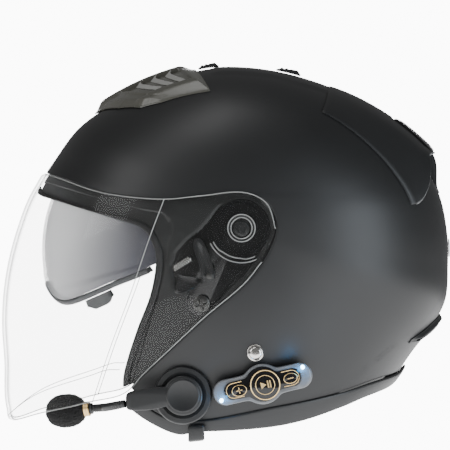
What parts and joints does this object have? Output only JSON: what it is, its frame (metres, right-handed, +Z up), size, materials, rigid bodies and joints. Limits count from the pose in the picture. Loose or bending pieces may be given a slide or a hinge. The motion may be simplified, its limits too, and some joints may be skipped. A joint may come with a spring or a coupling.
{
  "type": "motorcycle helmet",
  "caption": "Open face motorcycle helmet with a swing-up clear shield, drop-down sun lens, vents, rear spoiler and a side intercom with boom microphone.",
  "frame": {"origin": "midpoint of the clear shield's pivot axis, between the wearer's ears", "axes": "+X to the wearer's left, +Y to the back, +Z up, in the attitude the helmet is worn in"},
  "size_m": [0.2509, 0.3124, 0.2618],
  "materials": {
    "shell_black": "matt lacquer",
    "trim_black": "satin moulding",
    "liner_foam": "expanded foam",
    "comfort_fabric": "brushed knit",
    "lip_rubber": "matt",
    "clear_shield": "clear, hard coated",
    "sun_lens": "silver smoke",
    "dark_plastic": "fine grain",
    "mechanism_steel": "brushed",
    "spring_steel": "drawn wire",
    "stud_steel": "polished",
    "vent_taupe": "semi-gloss",
    "slider_grey": "satin",
    "gloss_black": "piano gloss",
    "reflector": "reflective",
    "pod_grey": "satin",
    "button_gloss": "gloss with gold outlines",
    "status_light": "glowing lens",
    "gold": "plated",
    "wind_foam": "open-cell foam",
    "webbing": "woven polyester",
    "buckle_steel": "brushed",
    "buckle_red": "satin"
  },
  "bodies": {
    "helmet": {"boom_base": "dark_plastic", "boom_clip": "dark_plastic", "buckle_receiver": "buckle_steel", "buckle_tongue": "buckle_steel", "cheek_pad_left": "comfort_fabric", "cheek_pad_right": "comfort_fabric", "chin_pad": "comfort_fabric", "chin_strap_left": "webbing", "chin_strap_right": "webbing", "crown_pad": "comfort_fabric", "eps_liner": "liner_foam", "eyeport_trim": "lip_rubber", "front_vent_cover": "vent_taupe", "led_front": "status_light", "led_rear": "status_light", "lever_spring_left": "spring_steel", "lever_spring_right": "spring_steel", "lower_edge_trim": "trim_black", "neck_exhaust_vent": "shell_black", "neck_roll": "comfort_fabric", "outer_shell": "shell_black", "plate_screw_left": "mechanism_steel", "plate_screw_right": "mechanism_steel", "pod_faceplate": "gloss_black", "pod_housing": "pod_grey", "ratchet_plate_left": "dark_plastic", "ratchet_plate_right": "dark_plastic", "rear_reflector": "reflector", "rear_spoiler": "shell_black", "snap_stud_left": "stud_steel", "snap_stud_right": "stud_steel", "speaker_left": "comfort_fabric", "speaker_right": "comfort_fabric", "spoiler_insert": "gloss_black", "strap_rivet_left": "stud_steel", "strap_rivet_right": "stud_steel"},
    "shield": {"visor": "clear_shield", "pivot_hub_left": "mechanism_steel", "pivot_hub_right": "mechanism_steel"},
    "sun_lens": {"sun_visor_lens": "sun_lens", "sun_visor_rim": "dark_plastic", "sun_visor_tab": "dark_plastic", "sun_visor_pivot_left": "dark_plastic", "sun_visor_pivot_right": "dark_plastic"},
    "boom": {"boom_hub": "dark_plastic", "gooseneck": "dark_plastic", "mic_capsule": "dark_plastic", "mic_ring": "gold", "mic_windscreen": "wind_foam"},
    "play": {"play_button": "button_gloss"},
    "volume_up": {"volume_up_button": "button_gloss"},
    "volume_down": {"volume_down_button": "button_gloss"},
    "lever_left": {"release_lever_left": "dark_plastic"},
    "lever_right": {"release_lever_right": "dark_plastic"},
    "vent_slider": {"front_vent_slider": "slider_grey"},
    "crest_tab_front": {"crest_vent_tab_front": "dark_plastic"},
    "crest_tab_rear": {"crest_vent_tab_rear": "dark_plastic"},
    "buckle_lever": {"buckle_lever": "buckle_red"}
  },
  "joints": [
    {"name": "shield_pivot", "type": "hinge", "parent": "helmet", "child": "shield", "pos_m": [0, 0, 0], "axis": [-1, 0, 0], "range_deg": [0, 60]},
    {"name": "sun_lens_pivot", "type": "hinge", "parent": "helmet", "child": "sun_lens", "pos_m": [0, -0.0392, -0.0147], "axis": [-1, 0, 0], "range_deg": [0, 40]},
    {"name": "boom_swivel", "type": "hinge", "parent": "helmet", "child": "boom", "pos_m": [0, -0.0399, -0.1141], "axis": [1, 0, 0], "range_deg": [0, 35]},
    {"name": "play_press", "type": "slide", "parent": "helmet", "child": "play", "axis": [-1, 0, 0], "range_m": [0, 0.0008], "stiffness_N_per_m": 300},
    {"name": "volume_up_press", "type": "slide", "parent": "helmet", "child": "volume_up", "axis": [-1, 0, 0], "range_m": [0, 0.0008], "stiffness_N_per_m": 300},
    {"name": "volume_down_press", "type": "slide", "parent": "helmet", "child": "volume_down", "axis": [-1, 0, 0], "range_m": [0, 0.0008], "stiffness_N_per_m": 300},
    {"name": "release_lever_left_pivot", "type": "hinge", "parent": "helmet", "child": "lever_left", "pos_m": [0, -0.0219, -0.0327], "axis": [1, 0, 0], "range_deg": [0, 12], "stiffness_Nm_per_rad": 0.05},
    {"name": "release_lever_right_pivot", "type": "hinge", "parent": "helmet", "child": "lever_right", "pos_m": [0, -0.0219, -0.0327], "axis": [1, 0, 0], "range_deg": [0, 12], "stiffness_Nm_per_rad": 0.05},
    {"name": "front_vent_slide", "type": "hinge", "parent": "helmet", "child": "vent_slider", "pos_m": [0, 0.0048, -0.0645], "axis": [1, 0, 0], "range_deg": [0, 1.2]},
    {"name": "crest_tab_front_slide", "type": "hinge", "parent": "helmet", "child": "crest_tab_front", "pos_m": [0, 0, 0], "axis": [-1, 0, 0], "range_deg": [0, 2.5]},
    {"name": "crest_tab_rear_slide", "type": "hinge", "parent": "helmet", "child": "crest_tab_rear", "pos_m": [0, 0, 0], "axis": [-1, 0, 0], "range_deg": [0, 2.5]},
    {"name": "buckle_lever_pivot", "type": "hinge", "parent": "helmet", "child": "buckle_lever", "pos_m": [0.0244, 0, -0.1344], "axis": [0, -1, 0], "range_deg": [0, 25], "stiffness_Nm_per_rad": 0.03}
  ]
}
